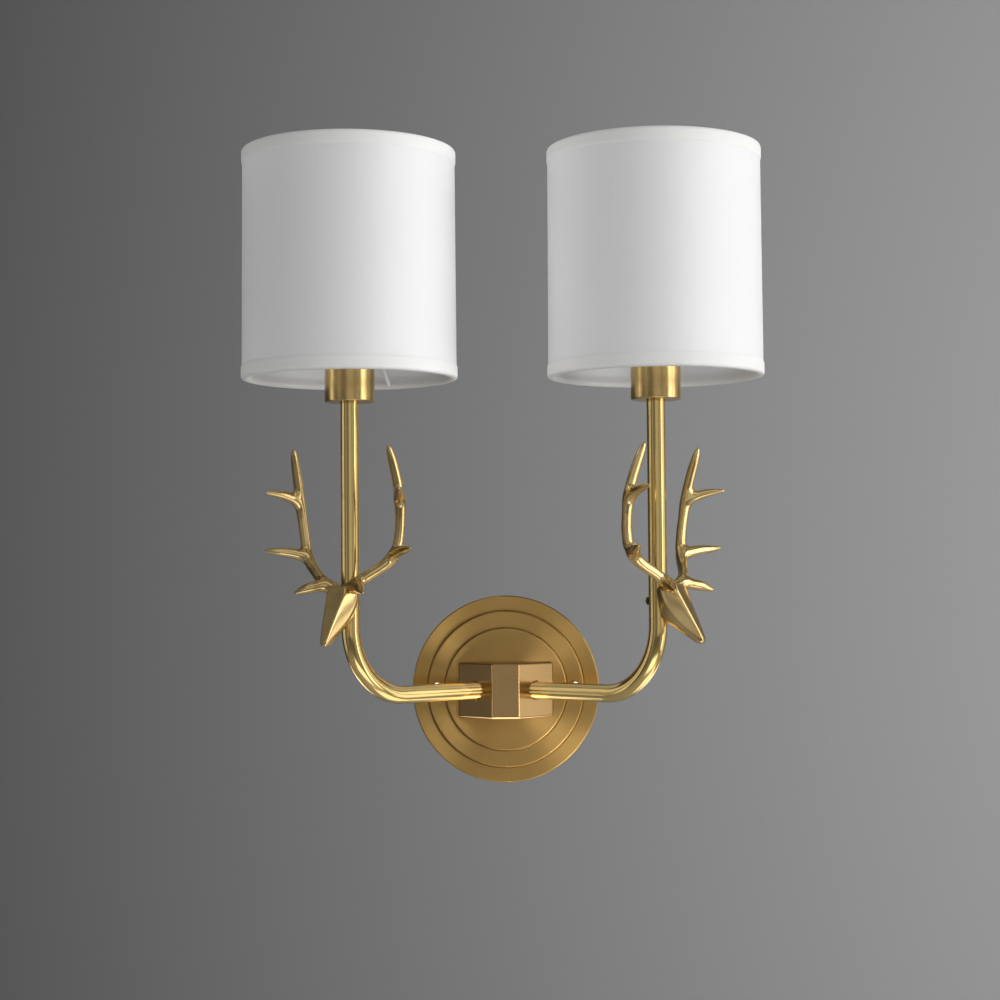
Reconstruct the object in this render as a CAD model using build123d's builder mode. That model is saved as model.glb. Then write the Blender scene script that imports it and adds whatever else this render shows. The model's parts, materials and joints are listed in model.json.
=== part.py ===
from build123d import *

import os
from math import cos, radians, sin, tan

# Two-arm brass wall lamp with stag heads and drum shades, in millimetres.
# The wall is the plane y = 0, the lamp faces -Y and +Z is up. The origin is the centre of the
# wall screw pattern, on the axis of the round wall plate and at the height of the two arms.

SIDES = {"left": -1, "right": 1}

# Gaps between pieces that fit together
FIT = 0.05
CLEAR = 0.25
SEAT = 0.1
LAYER = 0.05

# Wall plate, spun in three steps
RIM_RADIUS = 60.0
MIDDLE_RADIUS = 50.0
TOP_RADIUS = 39.0
RIM_DEPTH = 14.0
STEP_RISE = 3.0
PLATE_WALL = 1.5
STEP_ROUND = 0.9
GROOVE_RADIUS = 0.4
WIRE_SLOT_LENGTH = 30.0
WIRE_SLOT_HEIGHT = 8.0

# Wall bracket
BRACKET_THICK = 2.0
BRACKET_HEIGHT = 20.0
BRACKET_END = 9.0
WALL_SCREW_SPACING = 60.0
WALL_SLOT_WIDTH = 4.5
WALL_SLOT_LENGTH = 14.0
CABLE_HOLE_RADIUS = 6.0
TONGUE_WIDTH = 18.0
BRACKET_CORNER = 2.0

# Studs that carry the plate, and their nuts
STUD_RADIUS = 2.0
STUD_NUT_FLATS = 7.0
STUD_NUT_THICK = 3.2
STUD_REACH = 6.0
CAP_NUT_RADIUS = 5.3
CAP_NUT_SIDE = 3.0
CAP_NUT_BORE = 7.0
CAP_NUT_ROOM = 0.2

# Machine screws: shank radius, head radius and head height of each kind. The crown's round and
# the cross recess are shares of the head.
SCREW_CROWN = 0.33
SCREW_CROSS_LENGTH = 1.2
SCREW_CROSS_WIDTH = 0.3
SCREW_CROSS_DEPTH = 0.5
HUB_SCREW_RADIUS = 2.0
HUB_SCREW_HEAD_RADIUS = 3.8
HUB_SCREW_HEAD = 2.4
HUB_SCREW_BITE = 12.8
HUB_SCREW_ROOM = 1.2
EARTH_SCREW_X = 16.0
EARTH_SCREW_RADIUS = 2.0
EARTH_SCREW_HEAD_RADIUS = 3.6
EARTH_SCREW_HEAD = 2.4
HEAD_SCREW_RADIUS = 1.25
HEAD_SCREW_HEAD_RADIUS = 2.4
HEAD_SCREW_HEAD = 1.8
HEAD_SCREW_BITE = 9.0

# Hub block
HUB_BACK_HALF = 30.0
HUB_FRONT_HALF = 8.5
HUB_HEIGHT = 35.0
HUB_SIDE_DEPTH = 3.3
HUB_WALL = 3.5
HUB_ROUND = 1.6
HUB_BOSS_RADIUS = 4.2
HUB_BOSS_HEIGHT = 9.4
BORE_LIP = 0.6

# Arm tubes
ARM_ANGLE = 45.0
TUBE_RADIUS = 5.6
TUBE_WALL = 1.0
LAMP_SPACING = 184.0
BEND_RADIUS = 42.0
TUBE_NUT_FLATS = 14.0
TUBE_NUT_THICK = 3.0
TUBE_NUT_PROUD = 1.0

# Stag heads: outward turn of each, height of the nose tip over the arms, and the outline of the
# head at a few levels. A row gives the height over the nose tip, then the distance in front of
# the tube and the half width of the face, of the cheek crease and of the back of the head.
HEAD_TURN = {"left": 27.0, "right": 57.0}
HEAD_LIFT = 31.0
HEAD_LEVELS = [
    (0.0, (25.0, 1.6), (23.0, 2.0), (21.0, 1.2)),
    (3.0, (25.6, 2.4), (21.2, 3.3), (16.6, 1.8)),
    (8.0, (23.5, 3.1), (15.6, 5.1), (8.4, 2.4)),
    (15.0, (19.9, 4.0), (8.6, 7.5), (-2.2, 3.4)),
    (24.0, (15.3, 5.3), (3.8, 10.0), (-2.6, 6.4)),
    (31.0, (11.6, 6.2), (2.6, 10.6), (-2.6, 8.2)),
    (36.5, (8.8, 5.8), (2.6, 9.2), (-2.6, 7.4)),
]
HEAD_SCREW_RISE = 25.5

# One antler, measured like the head: distance in front of the tube, distance to the side, height
# over the nose tip and radius at each point. Three tines leave the main beam.
ANTLER_BEAM = [
    (4.6, 5.6, 33.6, 3.4),
    (5.0, 10.5, 37.2, 3.4),
    (2.6, 17.0, 41.6, 3.1),
    (-3.2, 26.0, 48.6, 3.1),
    (-6.6, 31.2, 56.5, 3.1),
    (-7.2, 33.4, 67.0, 2.9),
    (-6.2, 34.6, 79.0, 2.9),
    (-4.6, 35.0, 90.0, 2.9),
    (-0.8, 34.5, 102.5, 2.8),
    (2.4, 33.9, 111.2, 2.4),
    (4.2, 33.4, 115.8, 1.7),
    (5.0, 33.2, 118.0, 0.8),
]
BROW_TINE = [
    (4.8, 9.0, 36.2, 3.0),
    (9.4, 13.6, 35.6, 2.8),
    (14.0, 18.4, 34.2, 2.3),
    (18.8, 23.5, 31.8, 0.8),
]
MIDDLE_TINE = [
    (-5.0, 28.7, 52.6, 2.5),
    (-2.4, 33.2, 55.0, 2.6),
    (1.8, 39.2, 56.6, 1.9),
    (5.8, 44.6, 57.1, 1.5),
    (10.0, 50.3, 57.4, 0.6),
]
UPPER_TINE = [
    (-5.2, 34.9, 85.2, 2.4),
    (-2.0, 36.4, 88.4, 2.5),
    (3.4, 39.2, 90.8, 1.9),
    (9.0, 42.4, 91.9, 1.4),
    (15.2, 46.0, 92.4, 0.6),
]
ANTLER_SECTION_LEAN = 0.5
ANTLER_PIN = (4.6, 6.4)
ANTLER_PIN_RADIUS = 1.5
ANTLER_PIN_DEPTH = 7.0

# Socket cup and the nut inside it
CUP_LIFT = 177.0
CUP_RADIUS = 15.0
CUP_HEIGHT = 32.0
CUP_WALL = 1.2
CUP_FLOOR = 2.0
CUP_ROUND = 1.1
CUP_NUT_THICK = 3.5

# Lampholder for a 14 mm screw cap
HOLDER_RADIUS = 13.0
HOLDER_HEIGHT = 48.5
HOLDER_FLOOR = 3.0
HOLDER_CHAMBER_RADIUS = 10.0
HOLDER_CHAMBER = 13.0
HOLDER_WEB = 5.0
TUBE_INTO_HOLDER = 3.0
SHELL_WALL = 1.3
SHELL_HEIGHT = 20.0
CONTACT_RADIUS = 2.5
CONTACT_HEIGHT = 1.8

# Bulb
CAP_RADIUS = 6.95
CAP_HEIGHT = 20.0
CAP_TIP_RADIUS = 2.4
CAP_TIP_HEIGHT = 1.5
TIP_GAP = 0.3
BULB_RADIUS = 22.5
BULB_CENTRE = 30.0
BULB_NECK_RADIUS = 7.8
BULB_NECK_HEIGHT = 5.0
BULB_JOIN_ANGLE = 52.0
GLASS_WALL = 0.9

# Shade and its wire frame
SHADE_RING_RADIUS = 18.0
SHADE_RING_HEIGHT = 6.5
SPIDER_RING_RADIUS = 20.0
SPIDER_RING_THICK = 1.5
SPIDER_CLEAR = 0.5
FRAME_WIRE_RADIUS = 1.25
SPOKE_BEND = 10.0
SPOKE_ANGLES = {"left": (71, 191, 311), "right": (90, 210, 330)}
SHADE_BOTTOM_RADIUS = 65.0
SHADE_TOP_RADIUS = 64.5
SHADE_HEIGHT = 138.5
SHADE_DROP = 18.5
FABRIC_THICK = 0.8
HEM_HEIGHT = 8.5
HEM_THICK = 0.5

# Wiring
WIRE_RADIUS = 0.9
WIRE_OFFSET = 2.6
WIRE_TURN = 10.0
WIRE_DROP_TURN = 6.0
WIRE_HUB_X = 9.0
WIRE_BEHIND_PLATE = 9.0
WIRE_SPREAD_DROP = 11.0
WIRE_INTO_WEB = 3.0
WIRE_INTO_TERMINAL = 4.0
TERMINAL_PITCH = 8.0
TERMINAL_END = 1.0
TERMINAL_DEPTH = 12.0
TERMINAL_HEIGHT = 17.0
TERMINAL_DROP = 18.5
TERMINAL_HOLE_RADIUS = 1.7
TERMINAL_SCREW_RADIUS = 1.4
TERMINAL_SCREW_RISE = 4.6
TERMINAL_SCREW_SINK = 0.9

# Places worked out from the sizes above
PLATE_FRONT = RIM_DEPTH + 2 * STEP_RISE
STUD_X = TOP_RADIUS + CAP_NUT_RADIUS + CAP_NUT_ROOM
STUD_SEAT = RIM_DEPTH + STEP_RISE
FACET_WIDTH = HUB_BACK_HALF - HUB_FRONT_HALF
FACET_DEPTH = FACET_WIDTH * tan(radians(ARM_ANGLE))
FACET_X = (HUB_BACK_HALF + HUB_FRONT_HALF) / 2
FACET_Y = PLATE_FRONT + HUB_SIDE_DEPTH + FACET_DEPTH / 2
LAMP_X = LAMP_SPACING / 2
ARM_REACH = (LAMP_X - FACET_X) / sin(radians(ARM_ANGLE))
LAMP_Y = FACET_Y + ARM_REACH * cos(radians(ARM_ANGLE))
TUBE_BORE = TUBE_RADIUS - TUBE_WALL
TUBE_TAIL = HUB_WALL + TUBE_NUT_THICK + TUBE_NUT_PROUD

CUP_TOP = CUP_LIFT + CUP_HEIGHT
CUP_NUT_BASE = CUP_LIFT + CUP_FLOOR
HOLDER_BASE = CUP_NUT_BASE + CUP_NUT_THICK
HOLDER_TOP = HOLDER_BASE + HOLDER_HEIGHT
TUBE_TOP = HOLDER_BASE + HOLDER_FLOOR + TUBE_INTO_HOLDER
WEB_BASE = HOLDER_BASE + HOLDER_FLOOR + HOLDER_CHAMBER
WEB_TOP = WEB_BASE + HOLDER_WEB
SHELL_BORE = CAP_RADIUS + FIT
SHELL_RADIUS = SHELL_BORE + SHELL_WALL
TIP_BASE = WEB_TOP + CONTACT_HEIGHT + TIP_GAP
CAP_BASE = TIP_BASE + CAP_TIP_HEIGHT
GLASS_BASE = CAP_BASE + CAP_HEIGHT

SPIDER_BASE = CUP_TOP + SEAT
SPIDER_TOP = SPIDER_BASE + SPIDER_RING_THICK
SPIDER_LEVEL = SPIDER_BASE + SPIDER_RING_THICK / 2
SHADE_RING_BASE = SPIDER_TOP + SEAT
SHADE_BASE = CUP_TOP - SHADE_DROP
SHADE_TOP = SHADE_BASE + SHADE_HEIGHT
HEM_STACK = HEM_THICK + LAYER

TERMINAL_POLES = [TERMINAL_PITCH * (i - 1.5) for i in range(4)]
TERMINAL_HALF = 2 * TERMINAL_PITCH + TERMINAL_END
TERMINAL_Y = BRACKET_THICK + TERMINAL_DEPTH / 2
TERMINAL_BASE = -TERMINAL_DROP - TERMINAL_HEIGHT
TERMINAL_MIDDLE = -TERMINAL_DROP - TERMINAL_HEIGHT / 2
TONGUE_END = TERMINAL_BASE - BRACKET_CORNER

os.makedirs("parts", exist_ok=True)


def save(piece, name):
    """Label a finished piece and write it as its own file."""
    piece.label = name
    export_step(piece, f"parts/{name}.step")


def front(depth):
    """The plane parallel to the wall at a depth in front of it, facing the room."""
    return Plane.XZ.offset(depth)


def level(side, height):
    """The level plane on one lamp's vertical axis at a height."""
    return Plane(origin=(SIDES[side] * LAMP_X, -LAMP_Y, height))


def lamp_section(side):
    """The upright plane through one lamp's axis: x is the radius and y is the height."""
    return Plane(origin=(SIDES[side] * LAMP_X, -LAMP_Y, 0), x_dir=(1, 0, 0), z_dir=(0, -1, 0))


def lamp_axis(side):
    return Axis((SIDES[side] * LAMP_X, -LAMP_Y, 0), (0, 0, 1))


def arm_direction(side):
    return Vector(SIDES[side] * sin(radians(ARM_ANGLE)), -cos(radians(ARM_ANGLE)), 0)


def facet_centre(side):
    return Vector(SIDES[side] * FACET_X, -FACET_Y, 0)


def arm_upright(side):
    """The upright plane of one arm: x runs out along the arm and y is the height."""
    along = arm_direction(side)
    return Plane(origin=facet_centre(side), x_dir=along, z_dir=along.cross(Vector(0, 0, 1)))


def facet_plane(side, out):
    """A plane parallel to the hub facet of one arm, at a distance out from the facet."""
    along = arm_direction(side)
    return Plane(origin=facet_centre(side) + along * out, x_dir=(0, 0, 1), z_dir=along)


def head_plane(side):
    """The level plane of one head: x is in front of the tube axis and y is to its left side."""
    turn = radians(SIDES[side] * HEAD_TURN[side])
    forward = (sin(turn), -cos(turn), 0)
    return Plane(origin=(SIDES[side] * LAMP_X, -LAMP_Y, HEAD_LIFT), x_dir=forward, z_dir=(0, 0, 1))


def head_screw_plane(side, ahead):
    """The plane square to the head screw of one side, at a distance ahead of the tube axis."""
    frame = head_plane(side)
    return Plane(
        origin=frame.from_local_coords((ahead, 0, HEAD_SCREW_RISE)),
        x_dir=frame.z_dir,
        z_dir=frame.x_dir,
    )


def turned(side, profile):
    """A piece turned about one lamp's axis from a closed profile of radius and height points."""
    with BuildPart() as piece:
        with BuildSketch(lamp_section(side)):
            with BuildLine():
                Polyline(*profile, close=True)
            make_face()
        revolve(axis=lamp_axis(side))
    return piece.part


def hex_nut(plane, flats, thick, bore):
    with BuildPart() as nut:
        with BuildSketch(plane):
            RegularPolygon(flats / 2, 6, major_radius=False)
            Circle(bore, mode=Mode.SUBTRACT)
        extrude(amount=thick)
    return nut.part


def pan_screw(plane, radius, length, head_radius, head):
    """A pan head screw: the plane is under the head and the shank runs along its normal."""
    with BuildPart() as screw:
        with BuildSketch(plane):
            Circle(radius)
        extrude(amount=length)
        with BuildSketch(plane):
            Circle(head_radius)
        extrude(amount=-head)
        crown = screw.faces().sort_by(Axis(plane.origin, plane.z_dir))[0]
        fillet(crown.edges(), head * SCREW_CROWN)
        with BuildSketch(plane.offset(-head)):
            for turn in (0, 90):
                Rectangle(
                    head_radius * SCREW_CROSS_LENGTH, head_radius * SCREW_CROSS_WIDTH, rotation=turn
                )
        extrude(amount=head * SCREW_CROSS_DEPTH, mode=Mode.SUBTRACT)
    return screw.part


# Wall bracket
with BuildPart() as mounting_bracket:
    with BuildSketch(front(0)) as outline:
        Rectangle(2 * (STUD_X + BRACKET_END), BRACKET_HEIGHT)
        with Locations((0, TONGUE_END)):
            Rectangle(TONGUE_WIDTH, -TONGUE_END, align=(Align.CENTER, Align.MIN))
        fillet(outline.vertices(), BRACKET_CORNER)
        with Locations((-WALL_SCREW_SPACING / 2, 0), (WALL_SCREW_SPACING / 2, 0)):
            SlotOverall(WALL_SLOT_LENGTH, WALL_SLOT_WIDTH, mode=Mode.SUBTRACT)
        Circle(CABLE_HOLE_RADIUS, mode=Mode.SUBTRACT)
        with Locations((-STUD_X, 0), (STUD_X, 0)):
            Circle(STUD_RADIUS + FIT, mode=Mode.SUBTRACT)
        with Locations((EARTH_SCREW_X, 0)):
            Circle(EARTH_SCREW_RADIUS + FIT, mode=Mode.SUBTRACT)
        with Locations((0, TERMINAL_MIDDLE)):
            Circle(TERMINAL_SCREW_RADIUS + FIT, mode=Mode.SUBTRACT)
    extrude(amount=BRACKET_THICK)
save(mounting_bracket.part, "mounting_bracket")

# Studs, flush with the back of the bracket
with BuildPart() as bracket_studs:
    with BuildSketch(front(0)):
        with Locations((-STUD_X, 0), (STUD_X, 0)):
            Circle(STUD_RADIUS)
    extrude(amount=STUD_SEAT + STUD_REACH)
save(bracket_studs.part, "bracket_studs")

with BuildPart() as stud_nuts:
    with BuildSketch(front(BRACKET_THICK)):
        with Locations((-STUD_X, 0), (STUD_X, 0)):
            RegularPolygon(STUD_NUT_FLATS / 2, 6, major_radius=False)
            Circle(STUD_RADIUS + FIT, mode=Mode.SUBTRACT)
    extrude(amount=STUD_NUT_THICK)
save(stud_nuts.part, "stud_nuts")

# The earth screw's shank ends at the back of the bracket
earth_plane = Plane(
    origin=(EARTH_SCREW_X, -BRACKET_THICK, 0), x_dir=(1, 0, 0), z_dir=(0, 1, 0)
)
earth_screw = pan_screw(
    earth_plane, EARTH_SCREW_RADIUS, BRACKET_THICK, EARTH_SCREW_HEAD_RADIUS, EARTH_SCREW_HEAD
)
save(earth_screw, "earth_screw")

# Wall plate: a stack of discs, hollowed by smaller discs, with a fine groove at each step
plate_steps = [
    (RIM_RADIUS, RIM_DEPTH),
    (MIDDLE_RADIUS, RIM_DEPTH + STEP_RISE),
    (TOP_RADIUS, PLATE_FRONT),
]
with BuildPart() as wall_plate:
    for step_radius, step_front in plate_steps:
        with BuildSketch(front(0)):
            Circle(step_radius)
        extrude(amount=step_front)
    for step_radius, step_front in plate_steps:
        edges = wall_plate.edges().filter_by(GeomType.CIRCLE)
        rim = edges.filter_by(lambda e: abs(e.radius - step_radius) < FIT)
        fillet(rim.sort_by(Axis.Y)[0], STEP_ROUND)
    for step_radius, step_front in plate_steps:
        with BuildSketch(front(0)):
            Circle(step_radius - PLATE_WALL)
        extrude(amount=step_front - PLATE_WALL, mode=Mode.SUBTRACT)
    for step_radius, step_front in plate_steps[1:]:
        with BuildSketch(Plane.XY):
            with Locations((step_radius + GROOVE_RADIUS, STEP_RISE - step_front)):
                Circle(GROOVE_RADIUS)
        revolve(axis=Axis.Y, mode=Mode.SUBTRACT)
    with BuildSketch(front(0)):
        SlotOverall(WIRE_SLOT_LENGTH, WIRE_SLOT_HEIGHT)
        with Locations((-STUD_X, 0), (STUD_X, 0)):
            Circle(STUD_RADIUS + CLEAR)
        with Locations((0, -HUB_BOSS_HEIGHT), (0, HUB_BOSS_HEIGHT)):
            Circle(HUB_SCREW_RADIUS + CLEAR)
    extrude(amount=PLATE_FRONT, mode=Mode.SUBTRACT)
save(wall_plate.part, "wall_plate")

# Cap nuts on the studs
for side, sign in SIDES.items():
    with BuildPart() as cap_nut:
        with BuildSketch(Plane.XY):
            with BuildLine():
                dome_base = -STUD_SEAT - SEAT - CAP_NUT_SIDE
                tip = dome_base - CAP_NUT_RADIUS
                Line((sign * STUD_X, tip), (sign * STUD_X, -STUD_SEAT - SEAT))
                Line(
                    (sign * STUD_X, -STUD_SEAT - SEAT),
                    (sign * STUD_X + CAP_NUT_RADIUS, -STUD_SEAT - SEAT),
                )
                Line(
                    (sign * STUD_X + CAP_NUT_RADIUS, -STUD_SEAT - SEAT),
                    (sign * STUD_X + CAP_NUT_RADIUS, dome_base),
                )
                RadiusArc(
                    (sign * STUD_X + CAP_NUT_RADIUS, dome_base),
                    (sign * STUD_X, tip),
                    CAP_NUT_RADIUS,
                )
            make_face()
        revolve(axis=Axis((sign * STUD_X, 0, 0), (0, 1, 0)))
        with BuildSketch(front(STUD_SEAT)):
            with Locations((sign * STUD_X, 0)):
                Circle(STUD_RADIUS + FIT)
        extrude(amount=CAP_NUT_BORE, mode=Mode.SUBTRACT)
    save(cap_nut.part, f"cap_nut_{side}")


def hub_outline(inset):
    """The plan of the hub block from above, drawn in from its walls and open to the plate."""
    back = -PLATE_FRONT
    shoulder = back - HUB_SIDE_DEPTH
    nose = shoulder - FACET_DEPTH
    corner = inset * tan(radians(ARM_ANGLE / 2))
    half_back = HUB_BACK_HALF - inset
    half_front = HUB_FRONT_HALF - corner
    shoulder_in = shoulder + inset * tan(radians((90 - ARM_ANGLE) / 2))
    right = [(half_back, back), (half_back, shoulder_in), (half_front, nose + inset)]
    return right + [(-x, y) for x, y in reversed(right)]


# Hub block: a hollow casting with two screw bosses behind its front wall
with BuildPart() as hub_block:
    with BuildSketch(Plane.XY.offset(-HUB_HEIGHT / 2)):
        with BuildLine():
            Polyline(*hub_outline(0), close=True)
        make_face()
    extrude(amount=HUB_HEIGHT)
    outer = hub_block.edges().filter_by(lambda e: e.center().Y < -PLATE_FRONT - FIT)
    fillet(outer, HUB_ROUND)
    with BuildSketch(Plane.XY.offset(HUB_WALL - HUB_HEIGHT / 2)):
        with BuildLine():
            Polyline(*hub_outline(HUB_WALL), close=True)
        make_face()
    extrude(amount=HUB_HEIGHT - 2 * HUB_WALL, mode=Mode.SUBTRACT)
    with BuildSketch(front(PLATE_FRONT)):
        with Locations((0, -HUB_BOSS_HEIGHT), (0, HUB_BOSS_HEIGHT)):
            Circle(HUB_BOSS_RADIUS)
    extrude(amount=HUB_SIDE_DEPTH + FACET_DEPTH - HUB_WALL)
    with BuildSketch(front(PLATE_FRONT)):
        with Locations((0, -HUB_BOSS_HEIGHT), (0, HUB_BOSS_HEIGHT)):
            Circle(HUB_SCREW_RADIUS + FIT)
    extrude(amount=HUB_SCREW_BITE + HUB_SCREW_ROOM, mode=Mode.SUBTRACT)
    with Locations(*[Location(facet_plane(side, 0)) for side in SIDES]):
        CounterSinkHole(
            TUBE_RADIUS + FIT, TUBE_RADIUS + FIT + BORE_LIP, depth=2 * HUB_WALL, counter_sink_angle=90
        )
save(hub_block.part, "hub_block")

# Hub screws, driven from behind the plate
hub_screw_depth = PLATE_FRONT - PLATE_WALL
hub_screw_shank = PLATE_WALL + HUB_SCREW_BITE
with BuildPart() as hub_screws:
    for rise in (-HUB_BOSS_HEIGHT, HUB_BOSS_HEIGHT):
        under_head = Plane(origin=(0, -hub_screw_depth, rise), x_dir=(1, 0, 0), z_dir=(0, -1, 0))
        add(
            pan_screw(
                under_head,
                HUB_SCREW_RADIUS,
                hub_screw_shank,
                HUB_SCREW_HEAD_RADIUS,
                HUB_SCREW_HEAD,
            )
        )
save(hub_screws.part, "hub_screws")

# Arm tubes with the cross hole for the head screw, and their lock nuts inside the hub
for side in SIDES:
    with BuildPart() as arm_tube:
        with BuildLine(arm_upright(side)) as route:
            FilletPolyline(
                (-TUBE_TAIL, 0), (ARM_REACH, 0), (ARM_REACH, TUBE_TOP), radius=BEND_RADIUS
            )
        with BuildSketch(facet_plane(side, -TUBE_TAIL)):
            Circle(TUBE_RADIUS)
            Circle(TUBE_BORE, mode=Mode.SUBTRACT)
        sweep(path=route.wires()[0])
        with BuildSketch(head_screw_plane(side, -2 * TUBE_RADIUS)):
            Circle(HEAD_SCREW_RADIUS + CLEAR)
        extrude(amount=4 * TUBE_RADIUS, mode=Mode.SUBTRACT)
    save(arm_tube.part, f"arm_tube_{side}")
    arm_nut = hex_nut(
        facet_plane(side, -HUB_WALL - TUBE_NUT_THICK), TUBE_NUT_FLATS, TUBE_NUT_THICK, TUBE_RADIUS + FIT
    )
    save(arm_nut, f"arm_nut_{side}")


def head_loft(side):
    """The faceted stag head of one side, before its holes are cut."""
    with BuildPart() as head:
        for rise, face, cheek, back in HEAD_LEVELS:
            ring = [(TUBE_RADIUS + ahead, half) for ahead, half in (face, cheek, back)]
            with BuildSketch(head_plane(side).offset(rise)):
                with BuildLine():
                    Polyline(*ring, *[(x, -y) for x, y in reversed(ring)], close=True)
                make_face()
        loft(ruled=True)
        with BuildSketch(head_plane(side)):
            Circle(TUBE_RADIUS + FIT)
        extrude(amount=2 * HEAD_LEVELS[-1][0], mode=Mode.SUBTRACT)
    return head.part


def limb_planes(side, points):
    """A plane and a radius at each point of one limb of a head's right antler, square to its course."""
    frame = head_plane(side)
    places = [
        frame.from_local_coords((TUBE_RADIUS + ahead, -beside, rise))
        for ahead, beside, rise, _ in points
    ]
    last = len(places) - 1
    planes = []
    for i, place in enumerate(places):
        course = places[min(i + 1, last)] - places[max(i - 1, 0)]
        across = course.cross(frame.x_dir + frame.z_dir * ANTLER_SECTION_LEAN)
        planes.append((Plane(origin=place, x_dir=across, z_dir=course), points[i][3]))
    return planes


def antler(side, flank, head):
    """One antler on a head: beam and tines seated on the head, with a pin that enters it.

    The antler on the other flank is its mirror image."""
    with BuildPart() as piece:
        for limb in (ANTLER_BEAM, BROW_TINE, MIDDLE_TINE, UPPER_TINE):
            for plane, radius in limb_planes(side, limb):
                with BuildSketch(plane):
                    Circle(radius)
            loft()
        add(head, mode=Mode.SUBTRACT)
        with BuildSketch(head_plane(side).offset(HEAD_LEVELS[-1][0] - ANTLER_PIN_DEPTH)):
            with Locations((TUBE_RADIUS + ANTLER_PIN[0], -ANTLER_PIN[1])):
                Circle(ANTLER_PIN_RADIUS)
        extrude(amount=ANTLER_PIN_DEPTH + FIT)
    frame = head_plane(side)
    if flank > 0:
        return mirror(piece.part, about=Plane(origin=frame.origin, x_dir=frame.x_dir, z_dir=frame.y_dir))
    return piece.part


# Stag heads, each with two antlers and one screw from behind the tube
for side, sign in SIDES.items():
    blank = head_loft(side)
    with BuildPart() as stag_head:
        add(blank)
        with BuildSketch(head_plane(side).offset(HEAD_LEVELS[-1][0])):
            with Locations(
                (TUBE_RADIUS + ANTLER_PIN[0], ANTLER_PIN[1]),
                (TUBE_RADIUS + ANTLER_PIN[0], -ANTLER_PIN[1]),
            ):
                Circle(ANTLER_PIN_RADIUS + FIT)
        extrude(amount=-ANTLER_PIN_DEPTH - FIT, mode=Mode.SUBTRACT)
        with BuildSketch(head_screw_plane(side, 0)):
            Circle(HEAD_SCREW_RADIUS + FIT)
        extrude(amount=TUBE_RADIUS + HEAD_SCREW_BITE + CLEAR, mode=Mode.SUBTRACT)
    save(stag_head.part, f"stag_head_{side}")
    save(antler(side, sign, blank), f"antler_{side}_outer")
    save(antler(side, -sign, blank), f"antler_{side}_inner")
    head_screw = pan_screw(
        head_screw_plane(side, -TUBE_RADIUS),
        HEAD_SCREW_RADIUS,
        2 * TUBE_RADIUS + HEAD_SCREW_BITE,
        HEAD_SCREW_HEAD_RADIUS,
        HEAD_SCREW_HEAD,
    )
    save(head_screw, f"head_screw_{side}")


def shade_radius(height):
    """Outer radius of the finished shade at a height, hems included."""
    share = (height - SHADE_BASE) / SHADE_HEIGHT
    return SHADE_BOTTOM_RADIUS + share * (SHADE_TOP_RADIUS - SHADE_BOTTOM_RADIUS)


def shade_layer(side, low, high, outer, thick):
    """A tapered band of the shade: outer is how far its outside lies in from the shade's."""
    return turned(
        side,
        [
            (shade_radius(low) - outer, low),
            (shade_radius(high) - outer, high),
            (shade_radius(high) - outer - thick, high),
            (shade_radius(low) - outer - thick, low),
        ],
    )


def hem(side, edge, inward):
    """A hem band round one edge of the fabric; inward is +1 at the bottom and -1 at the top."""
    lip = edge + inward * HEM_THICK
    end = edge + inward * HEM_HEIGHT
    reach = HEM_STACK + FABRIC_THICK
    return turned(
        side,
        [
            (shade_radius(edge), edge),
            (shade_radius(end), end),
            (shade_radius(end) - HEM_THICK, end),
            (shade_radius(lip) - HEM_THICK, lip),
            (shade_radius(lip) - reach, lip),
            (shade_radius(edge) - reach, edge),
        ],
    )


def frame_wire_radius(height):
    """Radius of a frame wire that lies just inside the fabric at a height."""
    return shade_radius(height) - HEM_STACK - FABRIC_THICK - LAYER - FRAME_WIRE_RADIUS


def glass_face(inset):
    """Half section of the bulb glass, drawn in from the outside by an inset."""
    radius = BULB_RADIUS - inset
    neck = BULB_NECK_RADIUS - inset
    centre = GLASS_BASE + BULB_CENTRE
    join_x = radius * sin(radians(BULB_JOIN_ANGLE))
    join_y = centre - radius * cos(radians(BULB_JOIN_ANGLE))
    along = (cos(radians(BULB_JOIN_ANGLE)), sin(radians(BULB_JOIN_ANGLE)))
    Line((0, GLASS_BASE), (neck, GLASS_BASE))
    Line((neck, GLASS_BASE), (neck, GLASS_BASE + BULB_NECK_HEIGHT))
    Spline(
        (neck, GLASS_BASE + BULB_NECK_HEIGHT), (join_x, join_y), tangents=((0, 1), along)
    )
    ThreePointArc((join_x, join_y), (radius, centre), (0, centre + radius))
    Line((0, centre + radius), (0, GLASS_BASE))


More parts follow.
